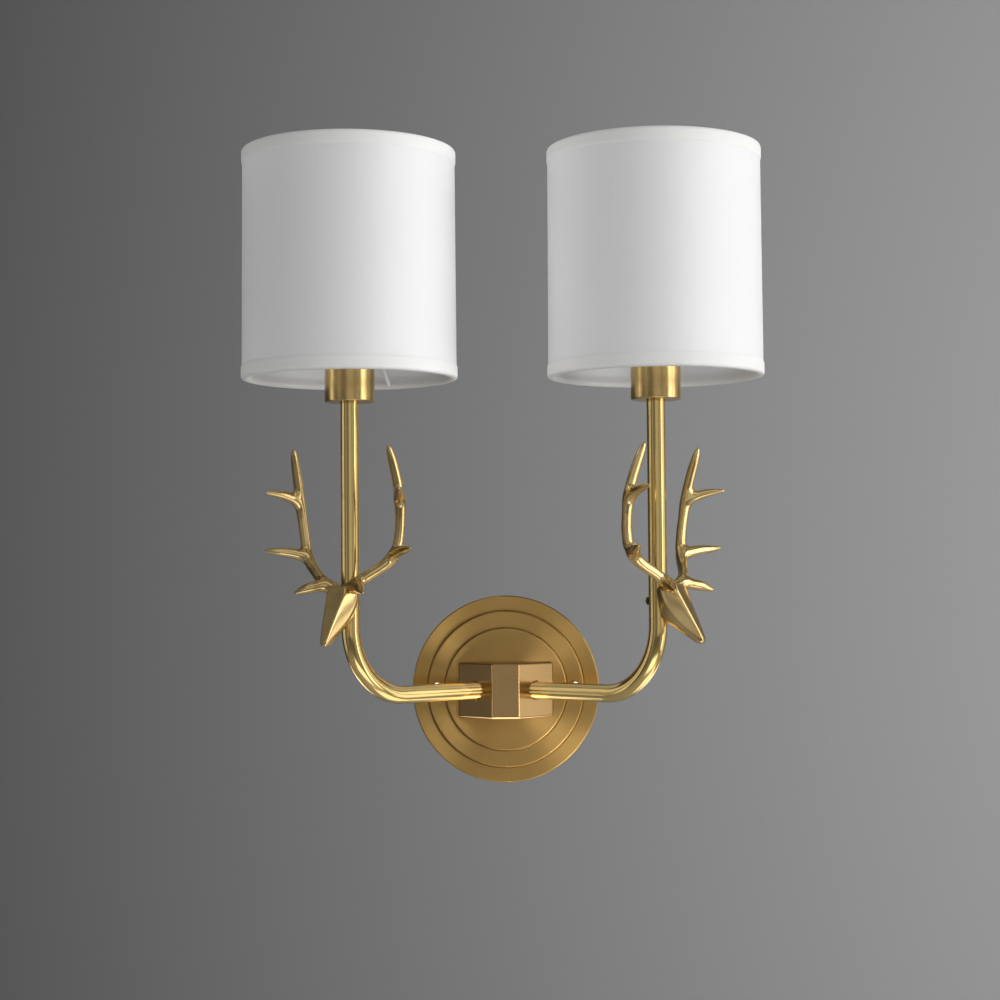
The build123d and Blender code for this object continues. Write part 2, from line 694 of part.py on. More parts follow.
# Lamp ends
for side in SIDES:
    with BuildPart() as socket_cup:
        with BuildSketch(level(side, CUP_LIFT)):
            Circle(CUP_RADIUS)
        extrude(amount=CUP_HEIGHT)
        fillet(socket_cup.edges().sort_by(Axis.Z)[0], CUP_ROUND)
        with BuildSketch(level(side, CUP_NUT_BASE)):
            Circle(CUP_RADIUS - CUP_WALL)
        extrude(amount=CUP_HEIGHT, mode=Mode.SUBTRACT)
        with BuildSketch(level(side, CUP_LIFT)):
            Circle(TUBE_RADIUS + FIT)
        extrude(amount=CUP_FLOOR, mode=Mode.SUBTRACT)
    save(socket_cup.part, f"socket_cup_{side}")

    cup_nut = hex_nut(level(side, CUP_NUT_BASE), TUBE_NUT_FLATS, CUP_NUT_THICK, TUBE_RADIUS + FIT)
    save(cup_nut, f"cup_nut_{side}")

    across = arm_direction(side).cross(Vector(0, 0, 1)) * WIRE_OFFSET
    with BuildPart() as lampholder:
        with BuildSketch(level(side, HOLDER_BASE)):
            Circle(HOLDER_RADIUS)
        extrude(amount=HOLDER_HEIGHT)
        with BuildSketch(level(side, HOLDER_BASE)):
            Circle(TUBE_RADIUS + FIT)
        extrude(amount=HOLDER_FLOOR, mode=Mode.SUBTRACT)
        with BuildSketch(level(side, HOLDER_BASE + HOLDER_FLOOR)):
            Circle(HOLDER_CHAMBER_RADIUS)
        extrude(amount=HOLDER_CHAMBER, mode=Mode.SUBTRACT)
        with BuildSketch(level(side, WEB_TOP)):
            Circle(SHELL_RADIUS + FIT)
        extrude(amount=HOLDER_HEIGHT, mode=Mode.SUBTRACT)
        with BuildSketch(level(side, WEB_BASE)):
            with Locations((across.X, across.Y), (-across.X, -across.Y)):
                Circle(WIRE_RADIUS + FIT)
        extrude(amount=WIRE_INTO_WEB, mode=Mode.SUBTRACT)
    save(lampholder.part, f"lampholder_{side}")

    with BuildPart() as socket_contacts:
        with BuildSketch(level(side, WEB_TOP)):
            Circle(SHELL_RADIUS)
            Circle(SHELL_BORE, mode=Mode.SUBTRACT)
        extrude(amount=SHELL_HEIGHT)
        with BuildSketch(level(side, WEB_TOP)):
            Circle(CONTACT_RADIUS)
        extrude(amount=CONTACT_HEIGHT)
    save(socket_contacts.part, f"socket_contacts_{side}")

    with BuildPart() as bulb_cap:
        with BuildSketch(level(side, CAP_BASE)):
            Circle(CAP_RADIUS)
        extrude(amount=CAP_HEIGHT)
        with BuildSketch(level(side, TIP_BASE)):
            Circle(CAP_TIP_RADIUS)
        extrude(amount=CAP_TIP_HEIGHT)
    save(bulb_cap.part, f"bulb_cap_{side}")

    with BuildPart() as bulb_glass:
        with BuildSketch(lamp_section(side)):
            with BuildLine():
                glass_face(0)
            make_face()
        revolve(axis=lamp_axis(side))
        with BuildSketch(lamp_section(side)):
            with BuildLine():
                glass_face(GLASS_WALL)
            make_face()
        revolve(axis=lamp_axis(side), mode=Mode.SUBTRACT)
    save(bulb_glass.part, f"bulb_glass_{side}")

    with BuildPart() as shade_ring:
        with BuildSketch(level(side, SHADE_RING_BASE)):
            Circle(SHADE_RING_RADIUS)
            Circle(HOLDER_RADIUS + FIT, mode=Mode.SUBTRACT)
        extrude(amount=SHADE_RING_HEIGHT)
    save(shade_ring.part, f"shade_ring_{side}")

    bottom_wire_level = SHADE_BASE + HEM_THICK + LAYER + FRAME_WIRE_RADIUS
    bottom_wire_radius = frame_wire_radius(bottom_wire_level)
    spoke_fall = SPIDER_LEVEL - bottom_wire_level
    with BuildPart() as shade_spider:
        with BuildSketch(level(side, SPIDER_BASE)):
            Circle(SPIDER_RING_RADIUS)
            Circle(HOLDER_RADIUS + SPIDER_CLEAR, mode=Mode.SUBTRACT)
        extrude(amount=SPIDER_RING_THICK)
        with BuildSketch(lamp_section(side)):
            with Locations((bottom_wire_radius, bottom_wire_level)):
                Circle(FRAME_WIRE_RADIUS)
        revolve(axis=lamp_axis(side))
        for angle in SPOKE_ANGLES[side]:
            outward = Vector(cos(radians(angle)), sin(radians(angle)), 0)
            upright = Plane(
                origin=lamp_section(side).origin,
                x_dir=outward,
                z_dir=outward.cross(Vector(0, 0, 1)),
            )
            with BuildLine(upright) as spoke:
                FilletPolyline(
                    (SPIDER_RING_RADIUS - FRAME_WIRE_RADIUS, SPIDER_LEVEL),
                    (bottom_wire_radius - spoke_fall, SPIDER_LEVEL),
                    (bottom_wire_radius, bottom_wire_level),
                    radius=SPOKE_BEND,
                )
            with BuildSketch(Plane(origin=spoke.wires()[0] @ 0, z_dir=outward)):
                Circle(FRAME_WIRE_RADIUS)
            sweep(path=spoke.wires()[0])
    save(shade_spider.part, f"shade_spider_{side}")

    top_wire_level = SHADE_TOP - HEM_THICK - LAYER - FRAME_WIRE_RADIUS
    with BuildPart() as shade_top_wire:
        with BuildSketch(lamp_section(side)):
            with Locations((frame_wire_radius(top_wire_level), top_wire_level)):
                Circle(FRAME_WIRE_RADIUS)
        revolve(axis=lamp_axis(side))
    save(shade_top_wire.part, f"shade_top_wire_{side}")

    fabric = shade_layer(
        side, SHADE_BASE + HEM_STACK, SHADE_TOP - HEM_STACK, HEM_STACK, FABRIC_THICK
    )
    save(fabric, f"shade_fabric_{side}")
    save(hem(side, SHADE_BASE, 1), f"shade_bottom_hem_{side}")
    save(hem(side, SHADE_TOP, -1), f"shade_top_hem_{side}")

# Terminal block on the bracket's tongue, with two clamp screws at each pole
with BuildPart() as terminal_block:
    with BuildSketch(front(BRACKET_THICK)):
        with Locations((0, TERMINAL_MIDDLE)):
            Rectangle(2 * TERMINAL_HALF, TERMINAL_HEIGHT)
            Circle(TERMINAL_SCREW_RADIUS + FIT, mode=Mode.SUBTRACT)
    extrude(amount=TERMINAL_DEPTH)
    with BuildSketch(Plane.XY.offset(TERMINAL_BASE)):
        with Locations(*[(x, -TERMINAL_Y) for x in TERMINAL_POLES]):
            Circle(TERMINAL_HOLE_RADIUS)
    extrude(amount=TERMINAL_HEIGHT, mode=Mode.SUBTRACT)
    clamp_places = [
        (x, TERMINAL_MIDDLE + rise)
        for x in TERMINAL_POLES
        for rise in (-TERMINAL_SCREW_RISE, TERMINAL_SCREW_RISE)
    ]
    with BuildSketch(front(TERMINAL_Y)):
        with Locations(*clamp_places):
            Circle(TERMINAL_SCREW_RADIUS + FIT)
    extrude(amount=TERMINAL_DEPTH, mode=Mode.SUBTRACT)
save(terminal_block.part, "terminal_block")

clamp_start = TERMINAL_Y + WIRE_RADIUS + FIT
with BuildPart() as terminal_screws:
    with BuildSketch(front(clamp_start)):
        with Locations(*clamp_places):
            Circle(TERMINAL_SCREW_RADIUS)
    extrude(amount=BRACKET_THICK + TERMINAL_DEPTH - TERMINAL_SCREW_SINK - clamp_start)
save(terminal_screws.part, "terminal_screws")

fixing_plane = Plane(
    origin=(0, -BRACKET_THICK - TERMINAL_DEPTH, TERMINAL_MIDDLE), x_dir=(1, 0, 0), z_dir=(0, 1, 0)
)
fixing_screw = pan_screw(
    fixing_plane,
    TERMINAL_SCREW_RADIUS,
    TERMINAL_DEPTH + BRACKET_THICK,
    2 * TERMINAL_SCREW_RADIUS,
    TERMINAL_SCREW_RADIUS,
)
save(fixing_screw, "terminal_fixing_screw")

# Two cores in each arm, one each side of the head screw, from the terminal block to the web of
# the lampholder. Each keeps its own side of the tube and spreads to its own pole.
for side, sign in SIDES.items():
    across = arm_direction(side).cross(Vector(0, 0, 1)) * WIRE_OFFSET
    hub_turn_y = -FACET_Y + (FACET_X - WIRE_HUB_X) / tan(radians(ARM_ANGLE))
    poles = sorted([x for x in TERMINAL_POLES if x * sign > 0], key=lambda x: x * sign)
    with BuildPart() as arm_wires:
        for lateral in (-1, 1):
            shift = across * lateral
            pole = poles[1] if shift.X * sign > 0 else poles[0]
            hub_turn = Vector(sign * WIRE_HUB_X, hub_turn_y, 0) + shift
            foot = Vector(sign * LAMP_X, -LAMP_Y, 0) + shift
            points = [
                Vector(pole, -TERMINAL_Y, -TERMINAL_DROP - WIRE_INTO_TERMINAL),
                Vector(pole, -TERMINAL_Y, -WIRE_SPREAD_DROP),
                Vector(hub_turn.X, -WIRE_BEHIND_PLATE, 0),
                hub_turn,
                foot,
                foot + Vector(0, 0, WEB_BASE + WIRE_INTO_WEB),
            ]
            with BuildLine() as route:
                FilletPolyline(
                    *points, radius=[WIRE_TURN, WIRE_DROP_TURN, WIRE_TURN, BEND_RADIUS]
                )
            course = route.wires()[0]
            with BuildSketch(Plane(origin=course @ 0, z_dir=course % 0)):
                Circle(WIRE_RADIUS)
            sweep(path=course)
            print(f"arm_wires_{side}: a core of {course.length:.1f} mm")
    save(arm_wires.part, f"arm_wires_{side}")
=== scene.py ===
import json
from math import atan2, cos, pi, radians, sin

import bmesh
import bpy
import numpy as np
import openvdb
from mathutils import Matrix, Vector


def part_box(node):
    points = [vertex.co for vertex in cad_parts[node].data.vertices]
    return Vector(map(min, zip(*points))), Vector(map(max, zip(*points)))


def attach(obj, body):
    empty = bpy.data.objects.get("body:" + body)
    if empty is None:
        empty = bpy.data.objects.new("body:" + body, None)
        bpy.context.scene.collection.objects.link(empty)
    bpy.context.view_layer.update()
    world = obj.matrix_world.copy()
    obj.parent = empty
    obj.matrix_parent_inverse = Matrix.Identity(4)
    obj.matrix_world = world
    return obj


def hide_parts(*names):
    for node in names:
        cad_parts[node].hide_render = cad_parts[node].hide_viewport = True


# Two-arm brass wall lamp with stag heads and drum shades, in metres.
# The wall is the plane y = 0, the lamp faces -Y and +Z is up.
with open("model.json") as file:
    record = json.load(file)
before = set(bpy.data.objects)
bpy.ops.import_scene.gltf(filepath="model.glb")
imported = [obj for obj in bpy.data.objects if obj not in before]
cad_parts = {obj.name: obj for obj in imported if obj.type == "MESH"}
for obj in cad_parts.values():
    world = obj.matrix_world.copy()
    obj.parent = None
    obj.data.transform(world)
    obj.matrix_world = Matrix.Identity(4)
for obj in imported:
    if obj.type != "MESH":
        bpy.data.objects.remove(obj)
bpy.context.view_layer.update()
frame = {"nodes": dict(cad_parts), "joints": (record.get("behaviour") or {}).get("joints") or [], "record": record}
nodes = frame["nodes"]

MM = 0.001
SIDES = {"left": -1, "right": 1}
joint_place = {joint["name"]: Vector(joint["pos_m"]) for joint in frame["joints"]}
lamp_axis = {side: joint_place[f"shade_turn_{side}"] for side in SIDES}

# Photograph: camera place, aim and focal length in pixels of the 1000 pixel frame
CAMERA_PLACE = Vector((0.0095, -1.3205, 0.0649))
CAMERA_YAW = radians(0.545)
CAMERA_PITCH = radians(2.485)
CAMERA_ROLL = radians(-0.436)
FOCAL_PIXELS = 2025.5
FRAME_PIXELS = 1000.0
SENSOR_WIDTH = 36.0

# Shade cloth
CLOTH_THICK = 0.8 * MM
CLOTH_STEPS = 240
CLOTH_ROWS = 24
CLOTH_CRISP = 50.0
SEAM_WIDTH = 9.0 * MM
SEAM_THICK = 0.25 * MM
SEAM_UNDER_HEM = 1.0 * MM
SEAM_GAP = 0.01 * MM
SEAM_ROWS = 12
SEAM_COLUMNS = 10
HEM_HEIGHT = 8.5 * MM
HEM_THICK = 0.5 * MM
HEM_INNER_HEIGHT = 7.0 * MM
HEM_PRESS = 2.0 * MM
HEM_PRESSED_SHARE = 0.85
HEM_STRAIGHT = (6.0, 2.2)
HEM_CRISP = 60.0
FRAME_WIRE_RADIUS = 1.25 * MM
LAYER = 0.05 * MM

# Stag heads, as in the solids: outward turn, height of the nose tip and outline at a few levels.
# A row gives the height over the nose tip, then the distance in front of the tube and the half
# width of the face, of the cheek crease and of the back of the head.
TUBE_RADIUS = 5.6
TUBE_FIT = 0.05
HEAD_TURN = {"left": 27.0, "right": 57.0}
HEAD_LIFT = 31.0
HEAD_LEVELS = [
    (0.0, (25.0, 1.6), (23.0, 2.0), (21.0, 1.2)),
    (3.0, (25.6, 2.4), (21.2, 3.3), (16.6, 1.8)),
    (8.0, (23.5, 3.1), (15.6, 5.1), (8.4, 2.4)),
    (15.0, (19.9, 4.0), (8.6, 7.5), (-2.2, 3.4)),
    (24.0, (15.3, 5.3), (3.8, 10.0), (-2.6, 6.4)),
    (31.6, (11.4, 6.3), (2.6, 10.6), (-2.6, 8.2)),
    (36.0, (9.2, 5.2), (3.2, 7.0), (-2.6, 5.0)),
]
HEAD_BEVEL = 2.4
HEAD_BEVEL_FROM = 16.0
HEAD_SMOOTHING = 3
HEAD_CRISP = 45.0
CUTTER_STEPS = 96
CUTTER_LENGTH = 200 * MM

# Antlers, as in the solids but with tines that grow out of the beam: distance in front of the tube,
# distance to the side, height over the nose tip and radius at each point. The crown is a short bar
# across the top of the head.
CROWN_BAR = [(3.6, -6.0, 33.8, 2.6), (3.6, 6.0, 33.8, 2.6)]
ANTLER_BEAM = [
    (4.6, 5.6, 33.6, 3.4),
    (5.0, 10.5, 37.2, 3.4),
    (2.6, 17.0, 41.6, 3.1),
    (-3.2, 26.0, 48.6, 3.1),
    (-6.6, 31.2, 56.5, 3.1),
    (-7.2, 33.4, 67.0, 2.9),
    (-6.2, 34.6, 79.0, 2.9),
    (-4.6, 35.0, 90.0, 2.9),
    (-0.8, 34.5, 102.5, 2.8),
    (2.4, 33.9, 111.2, 2.4),
    (4.2, 33.4, 115.8, 1.7),
    (5.0, 33.2, 118.0, 0.8),
]
BROW_TINE = [
    (4.7, 6.6, 34.4, 0.4),
    (6.0, 10.4, 36.2, 2.0),
    (9.4, 13.6, 35.6, 3.1),
    (14.0, 18.4, 34.2, 2.8),
    (18.8, 23.5, 31.8, 0.9),
]
MIDDLE_TINE = [
    (-2.8, 25.4, 48.0, 0.4),
    (-4.6, 29.4, 52.2, 1.5),
    (-2.4, 33.2, 54.6, 2.9),
    (1.8, 39.2, 56.2, 2.8),
    (5.8, 44.6, 56.8, 2.2),
    (10.2, 50.6, 57.4, 0.8),
]
UPPER_TINE = [
    (-6.0, 34.7, 80.0, 0.4),
    (-4.6, 35.3, 84.8, 1.5),
    (-1.8, 36.6, 87.8, 2.8),
    (3.4, 39.2, 90.2, 2.6),
    (9.0, 42.4, 91.6, 2.0),
    (15.4, 46.1, 92.4, 0.8),
]
LIMB_STEP = 1.2
FORK_ROUND = 4.0
SWELL = 0.2
FIELD_PASSES = 3
FIELD_REACH = 6.0
FIELD_CELL = 0.4
FIELD_LOW = (-10.0, -56.0, 28.0)
FIELD_HIGH = (30.0, 56.0, 121.0)

# Stage
FLOOR_HEIGHT = -1.2
FLOOR_REACH = 6.0
BACKDROP_DEPTH = 1.45
GRADIENT_REACH = 0.8
STAGE_ROUGH = 0.9
FLOOR_COLOUR = (0.62, 0.62, 0.62)
# The backdrop's two colours paint the fall of light across it: painted shade on the left, painted light on the
# right
BACKDROP_PAINTED_SHADE = (0.14, 0.14, 0.1415)
BACKDROP_PAINTED_LIGHT = (0.46, 0.46, 0.464)
WORLD_COLOUR = (0.5, 0.5, 0.505, 1)
WORLD_STRENGTH = 0.36


# Materials
class Shader:
    """A new procedural material and short ways to add its nodes."""

    def __init__(self, name):
        self.material = bpy.data.materials.new(name)
        self.material.use_nodes = True
        self.tree = self.material.node_tree
        self.bsdf = self.tree.nodes["Principled BSDF"]

    def node(self, kind, **settings):
        made = self.tree.nodes.new(kind)
        for key, value in settings.items():
            setattr(made, key, value)
        return made

    def link(self, source, target):
        self.tree.links.new(source, target)

    def coordinates(self, kind, scale):
        """Texture coordinates of a kind, stretched by a scale along each axis."""
        source = self.node("ShaderNodeTexCoord")
        mapping = self.node("ShaderNodeMapping")
        mapping.inputs["Scale"].default_value = scale
        self.link(source.outputs[kind], mapping.inputs["Vector"])
        return mapping.outputs["Vector"]

    def noise(self, scale, detail=3.0, roughness=0.55, vector=None, stretch=(1, 1, 1)):
        made = self.node("ShaderNodeTexNoise")
        made.inputs["Scale"].default_value = scale
        made.inputs["Detail"].default_value = detail
        made.inputs["Roughness"].default_value = roughness
        self.link(vector or self.coordinates("Object", stretch), made.inputs["Vector"])
        return made.outputs["Fac"]

    def spread(self, value, low, high, from_low=0.3, from_high=0.7):
        """A value brought from one range to another, held at its ends."""
        made = self.node("ShaderNodeMapRange")
        made.inputs["From Min"].default_value = from_low
        made.inputs["From Max"].default_value = from_high
        made.inputs["To Min"].default_value = low
        made.inputs["To Max"].default_value = high
        self.link(value, made.inputs["Value"])
        return made.outputs["Result"]

    def blend(self, share, first, second):
        """A colour between two colours, each a value or a socket."""
        made = self.node("ShaderNodeMix", data_type="RGBA")
        self.link(share, made.inputs["Factor"])
        for socket, colour in zip((made.inputs[6], made.inputs[7]), (first, second)):
            if isinstance(colour, tuple):
                socket.default_value = (*colour, 1)
            else:
                self.link(colour, socket)
        return made.outputs[2]

    def hollows(self, reach):
        """How open a point is, from 0 in a hollow to 1 on an open face."""
        made = self.node("ShaderNodeAmbientOcclusion", samples=8)
        made.inputs["Distance"].default_value = reach
        return made.outputs["AO"]

    def bump(self, height, strength, distance):
        made = self.node("ShaderNodeBump")
        made.inputs["Strength"].default_value = strength
        made.inputs["Distance"].default_value = distance
        self.link(height, made.inputs["Height"])
        self.link(made.outputs["Normal"], self.bsdf.inputs["Normal"])

    def colour(self, value):
        if isinstance(value, tuple):
            self.bsdf.inputs["Base Color"].default_value = (*value, 1)
        else:
            self.link(value, self.bsdf.inputs["Base Color"])

    def let_through(self, share, colour):
        """Pass a share of the light to the other side, as thin cloth does."""
        behind = self.node("ShaderNodeBsdfTranslucent")
        behind.inputs["Color"].default_value = (*colour, 1)
        mix = self.node("ShaderNodeMixShader")
        mix.inputs[0].default_value = share
        self.link(self.bsdf.outputs["BSDF"], mix.inputs[1])
        self.link(behind.outputs["BSDF"], mix.inputs[2])
        self.link(mix.outputs["Shader"], self.tree.nodes["Material Output"].inputs["Surface"])

    def gloss(self, value):
        if isinstance(value, float):
            self.bsdf.inputs["Roughness"].default_value = value
        else:
            self.link(value, self.bsdf.inputs["Roughness"])


def brass(name, bright, dark, rough, grain, stretch, strength, reach):
    """Brass with an uneven tone, painted shade and some patina in its hollows, and a fine grain along one
    direction.

    The grain has a scale, a stretch along each axis and a bump strength. Hollows narrower than the
    reach are painted dark, standing for shade there as well as patina."""
    shader = Shader(name)
    shader.bsdf.inputs["Metallic"].default_value = 1.0
    patches = shader.noise(38.0, 4.0)
    tone = shader.blend(shader.spread(patches, 0.0, 0.45), bright, dark)
    # Painted shade: creases and recesses found by occlusion are darkened towards the dark tone, partly standing
    # for patina
    patina_and_shade = shader.spread(shader.hollows(reach), 0.75, 0.0, 0.35, 0.95)
    shader.colour(shader.blend(patina_and_shade, tone, dark))
    lines = shader.noise(grain, 2.0, 0.6, stretch=stretch)
    shader.gloss(shader.spread(lines, *rough))
    shader.bump(lines, strength, 0.05 * MM)
    return shader.material


def spun_brass():
    """Satin brass turned on a lathe: fine rings round the plate's axis."""
    shader = Shader("satin_brass_spun")
    shader.bsdf.inputs["Metallic"].default_value = 1.0
    shader.bsdf.inputs["Anisotropic"].default_value = 0.9
    shader.bsdf.inputs["Anisotropic Rotation"].default_value = 0.25
    place = shader.node("ShaderNodeTexCoord").outputs["Object"]
    flat = shader.node("ShaderNodeVectorMath", operation="MULTIPLY")
    flat.inputs[1].default_value = (1, 0, 1)
    shader.link(place, flat.inputs[0])
    length = shader.node("ShaderNodeVectorMath", operation="LENGTH")
    shader.link(flat.outputs["Vector"], length.inputs[0])
    ring = shader.node("ShaderNodeCombineXYZ")
    shader.link(length.outputs["Value"], ring.inputs["X"])
    lines = shader.noise(2600.0, 2.0, 0.7, vector=ring.outputs["Vector"])
    patches = shader.noise(30.0, 4.0)
    bright, dark = (0.55, 0.34, 0.11), (0.42, 0.247, 0.075)
    tone = shader.blend(shader.spread(patches, 0.0, 0.4), bright, dark)
    # Painted shade: the foot of each step on the plate is darkened as a contact shadow, towards a deep brown
    patina_and_shade = shader.spread(shader.hollows(0.8 * MM), 0.8, 0.0, 0.4, 0.95)
    shader.colour(shader.blend(patina_and_shade, tone, (0.16, 0.085, 0.028)))
    shader.gloss(shader.spread(lines, 0.28, 0.33))
    shader.bump(lines, 0.05, 0.03 * MM)
    tangent = shader.node("ShaderNodeTangent", direction_type="RADIAL", axis="Y")
    shader.link(tangent.outputs["Tangent"], shader.bsdf.inputs["Tangent"])
    return shader.material


def cloth(name, colour, thread, sheen, rough):
    """Plain woven cloth: warp and weft threads along the two directions of the map."""
    shader = Shader(name)
    shader.bsdf.inputs["Sheen Weight"].default_value = sheen
    shader.bsdf.inputs["Sheen Roughness"].default_value = 0.35
    shader.bsdf.inputs["Specular IOR Level"].default_value = 0.8
    shader.let_through(0.3, colour)
    waves = []
    for direction in ("X", "Y"):
        wave = shader.node("ShaderNodeTexWave", wave_type="BANDS", bands_direction=direction)
        wave.inputs["Scale"].default_value = 1.0 / (2 * pi * thread) * 0.318
        wave.inputs["Distortion"].default_value = 0.6
        wave.inputs["Detail"].default_value = 1.0
        shader.link(shader.coordinates("UV", (1, 1, 1)), wave.inputs["Vector"])
        waves.append(wave.outputs["Fac"])
    weave = shader.node("ShaderNodeMath", operation="MAXIMUM")
    shader.link(waves[0], weave.inputs[0])
    shader.link(waves[1], weave.inputs[1])
    slub = shader.noise(900.0, 3.0, 0.6, vector=shader.coordinates("UV", (1, 0.05, 1)))
    shade = tuple(channel * 0.975 for channel in colour)
    shader.colour(shader.blend(shader.spread(slub, 0.0, 1.0), colour, shade))
    shader.gloss(shader.spread(slub, rough - 0.05, rough + 0.05))
    shader.bump(weave.outputs["Value"], 0.12, 0.05 * MM)
    return shader.material


def plastic(name, colour, rough, speckle):
    """Moulded plastic with a faint mottle and a fine moulded grain."""
    shader = Shader(name)
    mottle = shader.noise(160.0, 3.0)
    dull = tuple(channel * speckle for channel in colour)
    shader.colour(shader.blend(shader.spread(mottle, 0.0, 1.0), colour, dull))
    shader.gloss(shader.spread(mottle, rough - 0.06, rough + 0.06))
    shader.bump(shader.noise(2400.0, 2.0), 0.08, 0.05 * MM)
    return shader.material


def plated(name, colour, dull, rough_low, rough_high):
    """Plated or coated steel with small stains."""
    shader = Shader(name)
    shader.bsdf.inputs["Metallic"].default_value = 1.0
    stains = shader.noise(220.0, 4.0, 0.6)
    shader.colour(shader.blend(shader.spread(stains, 0.0, 1.0), colour, dull))
    shader.gloss(shader.spread(stains, rough_low, rough_high))
    shader.bump(shader.noise(1800.0, 2.0), 0.05, 0.03 * MM)
    return shader.material


def opal_glass():
    """Opal bulb glass: white in the body with a clear gloss."""
    shader = Shader("opal_glass")
    cloud = shader.noise(45.0, 2.0)
    light, dark = (0.93, 0.92, 0.89), (0.90, 0.89, 0.86)
    shader.colour(shader.blend(shader.spread(cloud, 0.0, 1.0), light, dark))
    shader.gloss(shader.spread(cloud, 0.10, 0.16))
    shader.bsdf.inputs["Subsurface Weight"].default_value = 0.25
    shader.bsdf.inputs["Subsurface Radius"].default_value = (0.004, 0.004, 0.004)
    shader.bsdf.inputs["Coat Weight"].default_value = 0.4
    return shader.material


def wire_cover():
    """Soft insulation of the cores in the arms."""
    shader = Shader("wire_cover")
    mottle = shader.noise(300.0, 2.0)
    light, dark = (0.20, 0.09, 0.045), (0.15, 0.065, 0.03)
    shader.colour(shader.blend(shader.spread(mottle, 0.0, 1.0), light, dark))
    shader.gloss(shader.spread(mottle, 0.42, 0.55))
    shader.bump(shader.noise(1500.0, 2.0), 0.05, 0.03 * MM)
    return shader.material


materials = {
    "satin_brass": brass(
        "satin_brass",
        bright=(0.66, 0.46, 0.19),
        dark=(0.46, 0.30, 0.11),
        rough=(0.22, 0.26),
        grain=2400.0,
        stretch=(0.03, 0.03, 1),
        strength=0.003,
        reach=1.2 * MM,
    ),
    "cast_brass": brass(
        "cast_brass",
        bright=(0.90, 0.67, 0.30),
        dark=(0.34, 0.20, 0.07),
        rough=(0.17, 0.21),
        grain=160.0,
        stretch=(1, 1, 1),
        strength=0.01,
        reach=2.0 * MM,
    ),
    "polished_brass": brass(
        "polished_brass",
        bright=(0.80, 0.585, 0.23),
        dark=(0.66, 0.465, 0.175),
        rough=(0.13, 0.16),
        grain=700.0,
        stretch=(1, 1, 0.1),
        strength=0.002,
        reach=2.0 * MM,
    ),
    "plain_brass": brass(
        "plain_brass",
        bright=(0.75, 0.56, 0.24),
        dark=(0.45, 0.31, 0.11),
        rough=(0.22, 0.34),
        grain=900.0,
        stretch=(1, 1, 0.1),
        strength=0.06,
        reach=1.0 * MM,
    ),
    "bright_nickel": plated("bright_nickel", (0.90, 0.87, 0.80), (0.80, 0.76, 0.68), 0.12, 0.20),
    "zinc_steel": plated("zinc_steel", (0.60, 0.61, 0.62), (0.46, 0.46, 0.45), 0.30, 0.45),
    "dark_screw": plated("dark_screw", (0.12, 0.09, 0.06), (0.07, 0.05, 0.035), 0.30, 0.45),
    "white_wire": plastic("white_wire", (0.84, 0.83, 0.81), 0.38, 0.95),
    "shade_cloth": cloth("shade_cloth", (0.88, 0.88, 0.885), 0.28 * MM, 0.25, 0.66),
    "hem_tape": cloth("hem_tape", (0.90, 0.895, 0.88), 0.34 * MM, 0.15, 0.75),
    "holder_plastic": plastic("holder_plastic", (0.83, 0.81, 0.76), 0.40, 0.94),
    "white_plastic": plastic("white_plastic", (0.78, 0.77, 0.73), 0.48, 0.92),
    "wire_cover": wire_cover(),
    "opal_glass": opal_glass(),
    "bulb_cap_metal": plated("bulb_cap_metal", (0.74, 0.74, 0.73), (0.60, 0.60, 0.58), 0.22, 0.36),
}
spun = spun_brass()
aged = brass(
    "satin_brass_aged",
    bright=(0.45, 0.285, 0.12),
    dark=(0.37, 0.225, 0.088),
    rough=(0.20, 0.206),
    grain=500.0,
    stretch=(1, 1, 0.2),
    strength=0.002,
    reach=1.2 * MM,
)

for subpart in frame["record"]["subparts"]:
    node = nodes[subpart["node"]]
    node.data.materials.clear()
    node.data.materials.append(materials[subpart["material_slot"]])
nodes["wall_plate"].data.materials[0] = spun
nodes["hub_block"].data.materials[0] = aged


# Pieces
def add_piece(name, mesh, body, slot, *replaced):
    """Link a finished mesh as a piece that rides on a body and stands for the replaced nodes."""
    mesh.materials.clear()
    mesh.materials.append(materials[slot])
    piece = bpy.data.objects.new(name, mesh)
    bpy.context.scene.collection.objects.link(piece)
    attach(piece, body)
    if replaced:
        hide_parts(*replaced)
    return piece


def mesh_from(name, points, faces, smooth=True):
    mesh = bpy.data.meshes.new(name)
    mesh.from_pydata(points, [], faces)
    mesh.validate()
    mesh.update()
    mesh.polygons.foreach_set("use_smooth", [smooth] * len(mesh.polygons))
    return mesh


def end_radius(node, axis, top):
    """Largest radius of a node about an upright axis at its top or bottom edge."""
    points = np.array([v.co for v in nodes[node].data.vertices])
    edge = points[:, 2].max() if top else points[:, 2].min()
    rim = points[np.abs(points[:, 2] - edge) < 0.1 * MM]
    return float(np.hypot(rim[:, 0] - axis.x, rim[:, 1] - axis.y).max())


def turned_mesh(name, loop, axis, steps):
    """A ring turned about an upright axis from a closed loop of radius and height points.

    The map holds the way round and the way along the loop, both in metres."""
    count = len(loop)
    along = [0.0]
    for (r0, z0), (r1, z1) in zip(loop, loop[1:] + loop[:1]):
        along.append(along[-1] + float(np.hypot(r1 - r0, z1 - z0)))
    points = []
    for step in range(steps):
        angle = 2 * pi * step / steps
        for radius, height in loop:
            points.append((axis.x + radius * cos(angle), axis.y + radius * sin(angle), height))
    faces = []
    corners = []
    widest = max(radius for radius, _ in loop)
    for step in range(steps):
        ahead = (step + 1) % steps
        u0 = 2 * pi * widest * step / steps
        u1 = 2 * pi * widest * (step + 1) / steps
        for i in range(count):
            j = (i + 1) % count
            faces.append((step * count + i, ahead * count + i, ahead * count + j, step * count + j))
            corners += [(u0, along[i]), (u1, along[i]), (u1, along[i + 1]), (u0, along[i + 1])]
    mesh = mesh_from(name, points, faces)
    uv = mesh.uv_layers.new(name="map")
    uv.data.foreach_set("uv", [value for corner in corners for value in corner])
    mesh.update()
    return mesh


